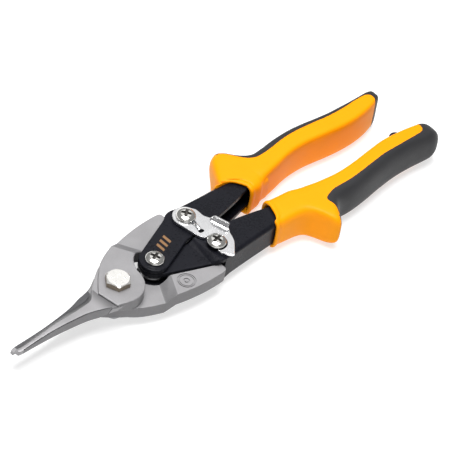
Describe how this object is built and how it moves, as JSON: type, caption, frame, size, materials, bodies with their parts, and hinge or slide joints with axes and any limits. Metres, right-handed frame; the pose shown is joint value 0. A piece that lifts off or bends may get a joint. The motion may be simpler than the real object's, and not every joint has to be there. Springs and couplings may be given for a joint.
{
  "type": "aviation snips",
  "caption": "Compound-action aviation snips with forged straight blades, pressed steel handles, moulded two-tone grips with finger guards and a swing latch.",
  "frame": {"origin": "centre of the bounding box's bottom face, below the plane in which the blades shear", "axes": "+X along the tool from the blade tips to the grips, +Y across it towards the upper handle, +Z along the main bolt towards its head"},
  "size_m": [0.25, 0.0664, 0.0234],
  "materials": {
    "blade_steel": "satin blasted forging",
    "zinc_bolt": "bright zinc",
    "dark_nut": "plain steel",
    "black_paint": "satin black powder coat",
    "grip_hard": "satin moulded plastic",
    "grip_soft": "soft-touch overmould",
    "nickel": "polished nickel",
    "nickel_plate": "bright plated pressing",
    "spring_steel": "oiled spring steel"
  },
  "bodies": {
    "upper_jaw": {"upper_blade": "blade_steel", "pivot_bolt": "zinc_bolt", "pivot_washer": "zinc_bolt", "pivot_nut": "dark_nut"},
    "lower_jaw": {"lower_blade": "blade_steel"},
    "upper_lever": {"upper_handle_channel": "black_paint", "upper_grip_hard": "grip_hard", "upper_grip_soft": "grip_soft", "handle_pivot_screw": "nickel", "handle_pivot_nut": "dark_nut", "spring_bush": "spring_steel", "return_spring": "spring_steel", "upper_link_screw": "nickel", "upper_link_nut": "dark_nut", "upper_arm_washers": "spring_steel", "latch_wave_washer": "spring_steel"},
    "lower_lever": {"lower_handle_channel": "black_paint", "lower_grip_hard": "grip_hard", "lower_grip_soft": "grip_soft", "lower_link_screw": "nickel", "lower_link_nut": "dark_nut", "lower_arm_washers": "spring_steel"},
    "latch": {"latch": "nickel_plate"}
  },
  "joints": [
    {"name": "jaw_open", "type": "hinge", "parent": "upper_jaw", "child": "lower_jaw", "pos_m": [-0.0625, 0, 0.0115], "axis": [0, 0, -1], "range_deg": [0, 24]},
    {"name": "upper_handle_swing", "type": "hinge", "parent": "upper_jaw", "child": "upper_lever", "pos_m": [-0.0105, 0.01, 0.0115], "axis": [0, 0, 1], "range_deg": [0, 11.34]},
    {"name": "lower_handle_swing", "type": "hinge", "parent": "lower_jaw", "child": "lower_lever", "pos_m": [-0.0105, -0.01, 0.0115], "axis": [0, 0, -1], "range_deg": [0, 11.34]},
    {"name": "latch_swing", "type": "hinge", "parent": "upper_lever", "child": "latch", "pos_m": [-0.0105, 0.01, 0.0195], "axis": [0, 0, 1], "range_deg": [0, 72.5]}
  ],
  "couplings": [
    {"joint": "upper_handle_swing", "follows": "jaw_open", "ratio": 0.46},
    {"joint": "lower_handle_swing", "follows": "jaw_open", "ratio": 0.46},
    {"joint": "latch_swing", "follows": "jaw_open", "ratio": 3}
  ]
}
